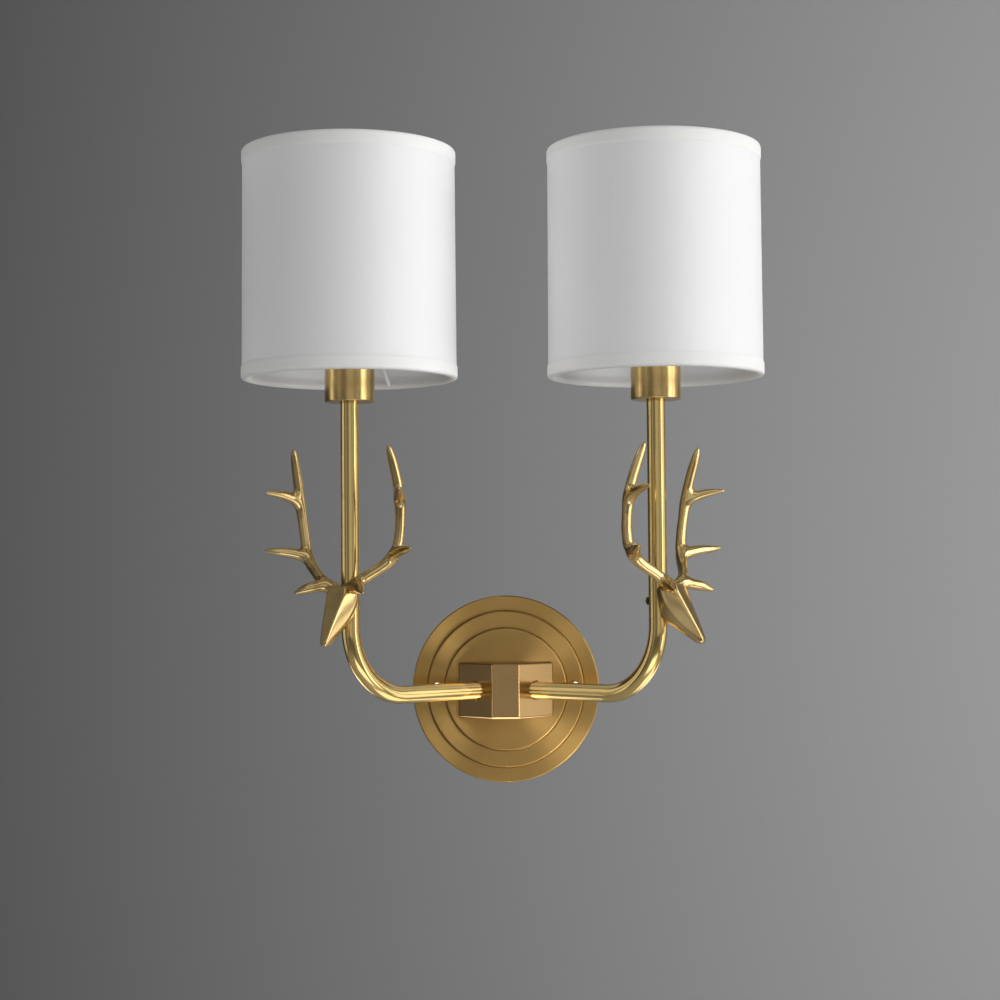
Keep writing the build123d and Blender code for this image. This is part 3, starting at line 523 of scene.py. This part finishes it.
def tape_loop(path, thicks):
    """A closed loop round a path of radius and height points, half the thickness to each side."""
    places = np.array(path)
    course = np.gradient(places, axis=0)
    course /= np.linalg.norm(course, axis=1)[:, None]
    across = np.c_[-course[:, 1], course[:, 0]] * np.array(thicks)[:, None] / 2
    return [tuple(p) for p in places + across] + [tuple(p) for p in (places - across)[::-1]]


def sharpen(piece, angle):
    """Keep edges sharper than an angle crisp in the shading."""
    mesh = piece.data
    mesh.set_sharp_from_angle(angle=radians(angle))
    return piece


def hem_loop(outer, inner_face, wire_radius, wire_height, edge, inward):
    """The section of a hem tape: down the outside, round the frame wire and up the inside.

    Its outer edge is pressed thin on the cloth."""
    roll = FRAME_WIRE_RADIUS + LAYER + HEM_THICK / 2
    reach = outer - HEM_THICK / 2 - wire_radius
    path = []
    thicks = []
    pressed = np.linspace(HEM_HEIGHT, HEM_HEIGHT - HEM_PRESS, 7)
    straight = np.linspace(*HEM_STRAIGHT, 5) * MM
    for height in (*pressed, *straight):
        thin = max(0.0, (height - HEM_HEIGHT + HEM_PRESS) / HEM_PRESS)
        thicks.append(HEM_THICK * (1 - HEM_PRESSED_SHARE * thin * thin))
        path.append((outer - HEM_THICK + thicks[-1] / 2, edge + inward * height))
    for turn in np.linspace(0, pi / 2, 8)[1:]:
        path.append((wire_radius + reach * cos(turn), wire_height - inward * roll * sin(turn)))
    for turn in np.linspace(pi / 2, pi, 8)[1:]:
        path.append((wire_radius + roll * cos(turn), wire_height - inward * roll * sin(turn)))
    end = (inner_face - HEM_THICK / 2 - LAYER, edge + inward * HEM_INNER_HEIGHT)
    start = path[-1]
    for share in np.linspace(0, 1, 7)[1:]:
        ease = share * share * (3 - 2 * share)
        path.append((start[0] + (end[0] - start[0]) * ease, start[1] + (end[1] - start[1]) * share))
    thicks += [HEM_THICK] * (len(path) - len(thicks))
    return tape_loop(path, thicks)


def make_shade(side):
    """Cloth, back seam and the two rolled hems of one shade."""
    axis = lamp_axis[side]
    body = f"shade_{side}"
    fabric = f"shade_fabric_{side}"
    low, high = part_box(fabric)
    bottom = end_radius(fabric, axis, False)
    top = end_radius(fabric, axis, True)
    heights = np.linspace(low.z, high.z, CLOTH_ROWS)
    radii = np.linspace(bottom, top, CLOTH_ROWS)
    outside = [(r, z) for r, z in zip(radii, heights)]
    inside = [(r - CLOTH_THICK, z) for r, z in zip(radii, heights)][::-1]
    cloth_mesh = turned_mesh(f"shade_cloth_{side}", outside + inside, axis, CLOTH_STEPS)
    shade = add_piece(f"shade_cloth_{side}", cloth_mesh, body, "shade_cloth", fabric)
    sharpen(shade, CLOTH_CRISP)
    for place, edge_top in (("bottom", False), ("top", True)):
        node = f"shade_{place}_hem_{side}"
        hem_low, hem_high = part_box(node)
        edge = hem_high.z if edge_top else hem_low.z
        inward = -1 if edge_top else 1
        outer = end_radius(node, axis, edge_top)
        face = (top if edge_top else bottom) - CLOTH_THICK
        wire = face - LAYER - FRAME_WIRE_RADIUS
        wire_height = edge + inward * (HEM_THICK + LAYER + FRAME_WIRE_RADIUS)
        section = hem_loop(outer, face, wire, wire_height, edge, inward)
        mesh = turned_mesh(f"shade_{place}_tape_{side}", section, axis, CLOTH_STEPS)
        hem = add_piece(f"shade_{place}_tape_{side}", mesh, body, "hem_tape", node)
        sharpen(hem, HEM_CRISP)
    seam = make_seam(side, axis, (low.z, high.z), (bottom, top))


def make_seam(side, axis, heights, radii):
    """The glued overlap of the cloth, down the side of the shade that faces the wall."""
    hem = HEM_HEIGHT - SEAM_UNDER_HEM
    rise = heights[1] - heights[0]
    half = SEAM_WIDTH / radii[0] / 2
    points = []
    for layer in (0, 1):
        for row in range(SEAM_ROWS + 1):
            height = heights[0] + hem + (rise - 2 * hem) * (row / SEAM_ROWS)
            radius = radii[0] + (radii[1] - radii[0]) * (height - heights[0]) / rise
            for column in range(SEAM_COLUMNS + 1):
                across = 2 * column / SEAM_COLUMNS - 1
                lift = SEAM_THICK * (1 - across**8) * layer
                angle = pi / 2 + half * across
                points.append(
                    (
                        axis.x + (radius + SEAM_GAP + lift) * cos(angle),
                        axis.y + (radius + SEAM_GAP + lift) * sin(angle),
                        height,
                    )
                )
    width = SEAM_COLUMNS + 1
    offset = width * (SEAM_ROWS + 1)
    faces = []
    for row in range(SEAM_ROWS):
        for column in range(SEAM_COLUMNS):
            a = row * width + column
            faces.append((a, a + width, a + width + 1, a + 1))
            b = a + offset
            faces.append((b, b + 1, b + width + 1, b + width))
    for column in range(SEAM_COLUMNS):
        a = column
        faces.append((a, a + 1, a + 1 + offset, a + offset))
        b = SEAM_ROWS * width + column
        faces.append((b, b + offset, b + 1 + offset, b + 1))
    mesh = mesh_from(f"shade_seam_{side}", points, faces)
    made = bmesh.new()
    made.from_mesh(mesh)
    bmesh.ops.remove_doubles(made, verts=made.verts, dist=1e-7)
    bmesh.ops.recalc_face_normals(made, faces=made.faces)
    made.to_mesh(mesh)
    made.free()
    uv = mesh.uv_layers.new(name="map")
    for loop in mesh.loops:
        place = mesh.vertices[loop.vertex_index].co
        angle = atan2(place.y - axis.y, place.x - axis.x)
        uv.data[loop.index].uv = (angle * radii[0], place.z)
    return add_piece(f"shade_seam_{side}", mesh, f"shade_{side}", "shade_cloth")


def head_frame(side):
    """The matrix from a head's own millimetres (ahead of the tube axis, beside, up) to the room."""
    turn = radians(SIDES[side] * HEAD_TURN[side])
    ahead = Vector((sin(turn), -cos(turn), 0))
    beside = Vector((0, 0, 1)).cross(ahead)
    axis = lamp_axis[side]
    place = Vector((axis.x, axis.y, HEAD_LIFT * MM))
    turn_matrix = Matrix((ahead, beside, (0, 0, 1))).transposed().to_4x4()
    return Matrix.Translation(place) @ turn_matrix @ Matrix.Scale(MM, 4)


def evaluated(name, mesh, modifiers):
    """A new mesh: the given one after a list of modifiers, each a type and its settings."""
    holder = bpy.data.objects.new(f"{name}_work", mesh)
    bpy.context.scene.collection.objects.link(holder)
    for kind, settings in modifiers:
        modifier = holder.modifiers.new(kind.lower(), kind)
        for key, value in settings.items():
            setattr(modifier, key, value)
    graph = bpy.context.evaluated_depsgraph_get()
    made = bpy.data.meshes.new_from_object(holder.evaluated_get(graph))
    made.name = name
    bpy.data.objects.remove(holder)
    made.polygons.foreach_set("use_smooth", [True] * len(made.polygons))
    return made


def make_head(side):
    """The stag's head: flat planes with rounded edges, grooved to fit its tube."""
    points = []
    for rise, face, cheek, back in HEAD_LEVELS:
        ring = [(TUBE_RADIUS + ahead, half, rise) for ahead, half in (face, cheek, back)]
        points += ring + [(x, -y, z) for x, y, z in reversed(ring)]
    count = 6
    faces = [tuple(range(count))[::-1], tuple(len(points) - count + i for i in range(count))]
    for level in range(len(HEAD_LEVELS) - 1):
        for i in range(count):
            a = level * count + i
            b = level * count + (i + 1) % count
            faces.append((a, b, b + count, a + count))
    made = bmesh.new()
    verts = [made.verts.new(point) for point in points]
    for face in faces:
        made.faces.new([verts[i] for i in face])
    bmesh.ops.recalc_face_normals(made, faces=made.faces)
    crisp = [edge for edge in made.edges if edge.calc_face_angle(0) > radians(HEAD_BEVEL_FROM)]
    bmesh.ops.bevel(
        made, geom=crisp, offset=HEAD_BEVEL, segments=2, profile=0.5, affect="EDGES", clamp_overlap=True
    )
    bmesh.ops.transform(made, matrix=head_frame(side), verts=made.verts)
    blank = bpy.data.meshes.new("head_blank")
    made.to_mesh(blank)
    made.free()
    smoothing = {"levels": HEAD_SMOOTHING, "render_levels": HEAD_SMOOTHING}
    smooth = evaluated(f"head_smooth_{side}", blank, [("SUBSURF", smoothing)])
    cutter = tube_cutter(side)
    mesh = evaluated(
        f"stag_face_{side}",
        smooth,
        [("BOOLEAN", {"operation": "DIFFERENCE", "object": cutter, "solver": "EXACT"})],
    )
    bpy.data.objects.remove(cutter)
    head = add_piece(f"stag_face_{side}", mesh, "wall_frame", "cast_brass", f"stag_head_{side}")
    return sharpen(head, HEAD_CRISP)


def tube_cutter(side):
    """A work cylinder a little wider than the tube, along the lamp's axis."""
    made = bmesh.new()
    bmesh.ops.create_cone(
        made,
        cap_ends=True,
        segments=CUTTER_STEPS,
        radius1=(TUBE_RADIUS + TUBE_FIT) * MM,
        radius2=(TUBE_RADIUS + TUBE_FIT) * MM,
        depth=CUTTER_LENGTH,
    )
    axis = lamp_axis[side]
    bmesh.ops.translate(made, vec=Vector((axis.x, axis.y, HEAD_LIFT * MM)), verts=made.verts)
    mesh = bpy.data.meshes.new("tube_cutter")
    made.to_mesh(mesh)
    made.free()
    cutter = bpy.data.objects.new("tube_cutter", mesh)
    bpy.context.scene.collection.objects.link(cutter)
    return cutter


def smooth_course(points):
    """Evenly spaced rows on a smooth curve through the points of a limb."""
    rows = np.array(points, float)
    padded = np.vstack([2 * rows[0] - rows[1], rows, 2 * rows[-1] - rows[-2]])
    course = []
    for i in range(1, len(padded) - 2):
        p0, p1, p2, p3 = padded[i - 1 : i + 3]
        steps = max(3, int(np.linalg.norm(p2[:3] - p1[:3]) / LIMB_STEP))
        for t in np.linspace(0, 1, steps, endpoint=False):
            course.append(
                0.5
                * (
                    2 * p1
                    + (p2 - p0) * t
                    + (2 * p0 - 5 * p1 + 4 * p2 - p3) * t**2
                    + (3 * p1 - p0 - 3 * p2 + p3) * t**3
                )
            )
    course.append(rows[-1])
    return np.array(course)


def field_axes():
    """The cell places of the antlers' field along each axis, in the head's millimetres."""
    counts = [round((high - low) / FIELD_CELL) + 1 for low, high in zip(FIELD_LOW, FIELD_HIGH)]
    return [np.linspace(low, high, n) for low, high, n in zip(FIELD_LOW, FIELD_HIGH, counts)]


def round_union(first, second):
    """Two fields of distances joined with a round web between them."""
    inside = np.hypot(np.maximum(FORK_ROUND - first, 0), np.maximum(FORK_ROUND - second, 0))
    return np.maximum(FORK_ROUND, np.minimum(first, second)) - inside


def limb_field(axes, points):
    """Distances to a round, tapering limb along a smooth curve through its points."""
    field = np.full([len(axis) for axis in axes], FIELD_REACH)
    course = smooth_course(points)
    for a, b in zip(course, course[1:]):
        reach = max(a[3], b[3]) + FIELD_REACH
        window = []
        for i, axis in enumerate(axes):
            first = np.searchsorted(axis, min(a[i], b[i]) - reach)
            window.append(slice(first, np.searchsorted(axis, max(a[i], b[i]) + reach)))
        x, y, z = np.meshgrid(*[axis[part] for axis, part in zip(axes, window)], indexing="ij")
        run = b - a
        along = (x - a[0]) * run[0] + (y - a[1]) * run[1] + (z - a[2]) * run[2]
        share = np.clip(along / np.dot(run[:3], run[:3]), 0, 1)
        gap = np.sqrt(
            (x - a[0] - share * run[0]) ** 2
            + (y - a[1] - share * run[1]) ** 2
            + (z - a[2] - share * run[2]) ** 2
        )
        field[tuple(window)] = np.minimum(field[tuple(window)], gap - a[3] - share * run[3])
    return field


def soften(field):
    """A field of distances with its creases smoothed away."""
    for _ in range(FIELD_PASSES):
        for axis in range(3):
            ends = [(1, 1) if i == axis else (0, 0) for i in range(3)]
            wide = np.moveaxis(np.pad(field, ends, mode="edge"), axis, 0)
            field = np.moveaxis((wide[:-2] + 2 * wide[1:-1] + wide[2:]) / 4, 0, axis)
    return field


def antler_shape():
    """Points and quads of both antlers and the crown in the head's millimetres, clear of the tube."""
    axes = field_axes()
    flank = limb_field(axes, ANTLER_BEAM)
    for tine in (BROW_TINE, MIDDLE_TINE, UPPER_TINE):
        flank = round_union(flank, limb_field(axes, tine))
    field = np.minimum(flank, flank[:, ::-1])
    field = round_union(field, limb_field(axes, CROWN_BAR))
    field = soften(field) - SWELL
    x, y = np.meshgrid(axes[0], axes[1], indexing="ij")
    tube = TUBE_RADIUS + TUBE_FIT - np.hypot(x + TUBE_RADIUS, y)
    field = np.maximum(field, tube[:, :, None])
    grid = openvdb.FloatGrid(FIELD_REACH)
    grid.copyFromArray(field.astype(np.float32))
    points, quads = grid.convertToQuads(0.0)
    return points * FIELD_CELL + np.array(FIELD_LOW) + (TUBE_RADIUS, 0, 0), quads


def make_antlers(side, points, quads):
    """Both antlers of one head as one casting with the crown between them."""
    made = bmesh.new()
    verts = [made.verts.new(point) for point in points]
    for quad in quads:
        made.faces.new([verts[i] for i in quad])
    bmesh.ops.recalc_face_normals(made, faces=made.faces)
    bmesh.ops.transform(made, matrix=head_frame(side), verts=made.verts)
    mesh = bpy.data.meshes.new(f"antlers_{side}")
    made.to_mesh(mesh)
    made.free()
    mesh.polygons.foreach_set("use_smooth", [True] * len(mesh.polygons))
    return add_piece(
        f"antlers_{side}",
        mesh,
        "wall_frame",
        "cast_brass",
        f"antler_{side}_outer",
        f"antler_{side}_inner",
    )


antler_points, antler_quads = antler_shape()
for lamp_side in SIDES:
    make_shade(lamp_side)
    make_head(lamp_side)
    make_antlers(lamp_side, antler_points, antler_quads)


# Stage: a pale floor well below and a backdrop well behind, painted darker on the left and lighter on the right as
# if lit from the right
def stage_plane(name, corners, rough, colour, painted_light_colour=None):
    """A plain plane. Where it has a second colour, it is painted with a soft fall of light, from painted shade on
    the left to painted light on the right.
    """
    mesh = mesh_from(name, corners, [(0, 1, 2, 3)], smooth=False)
    shader = Shader(name)
    if painted_light_colour:
        # Painted light: the colour goes from the shaded left colour to the lit right colour across the plane
        place = shader.node("ShaderNodeSeparateXYZ")
        shader.link(shader.coordinates("Object", (1, 1, 1)), place.inputs["Vector"])
        share = shader.spread(place.outputs["X"], 0.0, 1.0, -GRADIENT_REACH, GRADIENT_REACH)
        shader.colour(shader.blend(share, colour, painted_light_colour))
    else:
        shader.colour(colour)
    shader.gloss(rough)
    mesh.materials.append(shader.material)
    plane = bpy.data.objects.new(name, mesh)
    bpy.context.scene.collection.objects.link(plane)


stage_plane(
    "floor",
    [
        (-FLOOR_REACH, -FLOOR_REACH, FLOOR_HEIGHT),
        (FLOOR_REACH, -FLOOR_REACH, FLOOR_HEIGHT),
        (FLOOR_REACH, BACKDROP_DEPTH, FLOOR_HEIGHT),
        (-FLOOR_REACH, BACKDROP_DEPTH, FLOOR_HEIGHT),
    ],
    STAGE_ROUGH,
    FLOOR_COLOUR,
)
stage_plane(
    "backdrop",
    [
        (-FLOOR_REACH, BACKDROP_DEPTH, FLOOR_HEIGHT),
        (FLOOR_REACH, BACKDROP_DEPTH, FLOOR_HEIGHT),
        (FLOOR_REACH, BACKDROP_DEPTH, FLOOR_REACH),
        (-FLOOR_REACH, BACKDROP_DEPTH, FLOOR_REACH),
    ],
    STAGE_ROUGH,
    BACKDROP_PAINTED_SHADE,
    BACKDROP_PAINTED_LIGHT,
)


# Light: a soft key from the right in front, a sheen on the cloth, and cards that show in the brass
def area_light(name, azimuth, rise, distance, width, height, radiance, shows, kept_to, stopped_by):
    """A soft box round the lamp; azimuth 0 is in front of it and 90 on its right.

    It shows only in the matt or only in the glossy part of the shading. It may be kept to a group of
    pieces, and be stopped by a group only."""
    turn = radians(azimuth)
    lift = radians(rise)
    place = AIM + distance * Vector((sin(turn) * cos(lift), -cos(turn) * cos(lift), sin(lift)))
    light = bpy.data.lights.new(name, "AREA")
    light.shape = "RECTANGLE"
    light.size = width
    light.size_y = height
    light.energy = radiance * pi * width * height
    lamp = bpy.data.objects.new(name, light)
    lamp.location = place
    lamp.rotation_euler = (AIM - place).to_track_quat("-Z", "Y").to_euler()
    lamp.visible_glossy = shows != "matt"
    lamp.visible_diffuse = shows != "gloss"
    lamp.light_linking.receiver_collection = kept_to
    lamp.light_linking.blocker_collection = stopped_by
    bpy.context.scene.collection.objects.link(lamp)


def group(name, pieces):
    """A group of pieces, for the lights that are kept to them."""
    made = bpy.data.collections.new(name)
    for piece in pieces:
        made.objects.link(piece)
    return made


AIM = Vector((0, -0.08, 0.13))
CLOTH_NAMES = ("shade_cloth", "shade_seam", "shade_bottom", "shade_top", "shade_fabric")
CAST_NAMES = ("stag", "antler")
meshes = [piece for piece in bpy.context.scene.objects if piece.type == "MESH"]
cloths = [piece for piece in meshes if piece.name.startswith(CLOTH_NAMES)]
hard = [piece for piece in meshes if not piece.name.startswith(CLOTH_NAMES)]
heads = [piece for piece in hard if piece.name.startswith(CAST_NAMES)]
hub = nodes["hub_block"]
cloth_only = group("cloth_only", cloths)
hard_only = group("hard_only", hard)
no_heads = group("no_heads", [piece for piece in hard if not piece.name.startswith(CAST_NAMES)])
no_hub = group("no_hub", [piece for piece in hard if piece is not hub])
left_shade = group("left_shade", [piece for piece in cloths if piece.name.endswith("left")])
right_shade = group("right_shade", [piece for piece in cloths if piece.name.endswith("right")])
left_head = group("left_head", [piece for piece in heads if piece.name.endswith("left")])
right_head = group("right_head", [piece for piece in heads if piece.name.endswith("right")])
plate_only = group("plate_only", [nodes["wall_plate"]])
hub_only = group("hub_only", [hub])
cups_only = group("cups_only", [nodes[f"socket_cup_{side}"] for side in SIDES])
tubes_only = group("tubes_only", [nodes[f"arm_tube_{side}"] for side in SIDES])
nuts_only = group("nuts_only", [nodes[f"cap_nut_{side}"] for side in SIDES])

# Each row gives azimuth, rise, distance, width, height and radiance, then what it shows in, the
# pieces it is kept to and the pieces that stop it
LIGHTS = {
    "key_box": (62, 8, 1.8, 1.1, 1.5, 5.3, "matt", None, None),
    "left_fill": (-70, 5, 2.2, 1.5, 1.6, 1.9, "matt", None, None),
    "low_fill": (10, -35, 2.0, 1.4, 1.0, 2.0, "matt", None, None),
    "right_fill": (105, 5, 1.8, 1.0, 1.6, 1.6, "matt", None, None),
    "inner_left": (100, 5, 1.8, 1.0, 1.6, 2.2, "matt", left_shade, left_shade),
    "inner_right": (-100, 5, 1.8, 1.0, 1.6, 1.9, "matt", right_shade, right_shade),
    "front_sheen": (48, 5, 1.8, 0.7, 2.2, 12.0, "gloss", cloth_only, hard_only),
    "front_card": (6, 6, 2.4, 1.5, 1.7, 0.34, "gloss", None, hard_only),
    "near_card": (38, 2, 1.8, 0.5, 2.2, 0.3, "gloss", None, hard_only),
    "key_card": (66, 2, 1.8, 0.5, 2.4, 2.4, "gloss", None, hard_only),
    "side_strip": (88, 4, 1.3, 0.3, 2.0, 1.5, "gloss", None, no_hub),
    "right_strip": (108, 4, 1.3, 0.26, 2.0, 0.5, "gloss", None, no_hub),
    "left_card": (-45, 4, 1.8, 0.4, 2.0, 0.2, "gloss", None, hard_only),
    "left_side": (-80, 4, 1.4, 0.2, 1.8, 0.9, "gloss", no_heads, no_hub),
    "low_card": (15, -50, 1.5, 1.2, 0.5, 1.35, "gloss", None, hard_only),
    "top_card": (10, 50, 1.5, 1.2, 0.5, 0.6, "gloss", None, hard_only),
    "plate_low": (34, -34, 1.5, 0.5, 0.5, 8.0, "gloss", plate_only, hard_only),
    "plate_high": (30, 14, 1.5, 0.5, 0.5, 5.5, "gloss", plate_only, hard_only),
    "right_head_card": (46, 8, 1.6, 0.9, 1.8, 1.6, "gloss", right_head, hard_only),
    "left_head_card": (52, 2, 1.6, 0.4, 1.4, 1.5, "gloss", left_head, hard_only),
    "cheek_card": (-30, 4, 1.6, 0.8, 1.2, 0.26, "gloss", right_head, hard_only),
    "left_strip": (-96, 4, 1.4, 0.36, 1.8, 0.6, "gloss", tubes_only, no_hub),
    "tube_under": (95, -66, 1.2, 0.7, 0.7, 1.2, "gloss", tubes_only, tubes_only),
    "tube_low_left": (-135, -40, 1.2, 0.5, 0.5, 1.6, "gloss", tubes_only, tubes_only),
    "tube_low_right": (135, -40, 1.2, 0.5, 0.5, 1.6, "gloss", tubes_only, tubes_only),
    "tube_high_left": (-135, 40, 1.2, 0.9, 0.7, 0.35, "gloss", tubes_only, tubes_only),
    "tube_high_right": (135, 40, 1.2, 0.9, 0.7, 0.35, "gloss", tubes_only, tubes_only),
    "cup_right": (75, 5, 1.4, 0.7, 2.2, 1.0, "gloss", cups_only, hard_only),
    "cup_left": (-88, 5, 1.4, 0.2, 2.2, 1.1, "gloss", cups_only, hard_only),
    "nut_glint": (60, 80, 1.2, 1.4, 1.4, 1.8, "gloss", nuts_only, nuts_only),
    "hub_under": (0, -89, 1.2, 2.6, 2.6, 3.2, "gloss", hub_only, hard_only),
    "hub_edge_right": (45, 0, 1.5, 0.8, 1.2, 3.6, "gloss", hub_only, hard_only),
    "hub_edge_left": (-45, 0, 1.5, 0.6, 1.2, 1.2, "gloss", hub_only, hard_only),
    "hub_rim_right": (135, 0, 1.3, 0.6, 1.2, 2.5, "gloss", hub_only, hard_only),
    "hub_rim_left": (-135, 0, 1.3, 0.6, 1.2, 3.0, "gloss", hub_only, hard_only),
}
for light_name, row in LIGHTS.items():
    area_light(light_name, *row)

world = bpy.data.worlds.new("studio")
world.use_nodes = True
background = world.node_tree.nodes["Background"]
background.inputs["Color"].default_value = WORLD_COLOUR
background.inputs["Strength"].default_value = WORLD_STRENGTH
bpy.context.scene.world = world
bpy.context.scene.view_settings.view_transform = "Standard"


# Camera
def photo_camera():
    """The photograph's camera: placed, aimed by yaw, pitch and roll, with its focal length."""
    forward = Vector(
        (-sin(CAMERA_YAW) * cos(CAMERA_PITCH), cos(CAMERA_YAW) * cos(CAMERA_PITCH), sin(CAMERA_PITCH))
    )
    right = Vector((cos(CAMERA_YAW), sin(CAMERA_YAW), 0))
    up = right.cross(forward)
    x_axis = cos(CAMERA_ROLL) * right + sin(CAMERA_ROLL) * up
    y_axis = -sin(CAMERA_ROLL) * right + cos(CAMERA_ROLL) * up
    data = bpy.data.cameras.new("photo_camera")
    data.sensor_width = SENSOR_WIDTH
    data.lens = SENSOR_WIDTH * FOCAL_PIXELS / FRAME_PIXELS
    camera = bpy.data.objects.new("photo_camera", data)
    turn = Matrix((x_axis, y_axis, -forward)).transposed()
    camera.matrix_world = Matrix.Translation(CAMERA_PLACE) @ turn.to_4x4()
    bpy.context.scene.collection.objects.link(camera)
    bpy.context.scene.camera = camera


photo_camera()
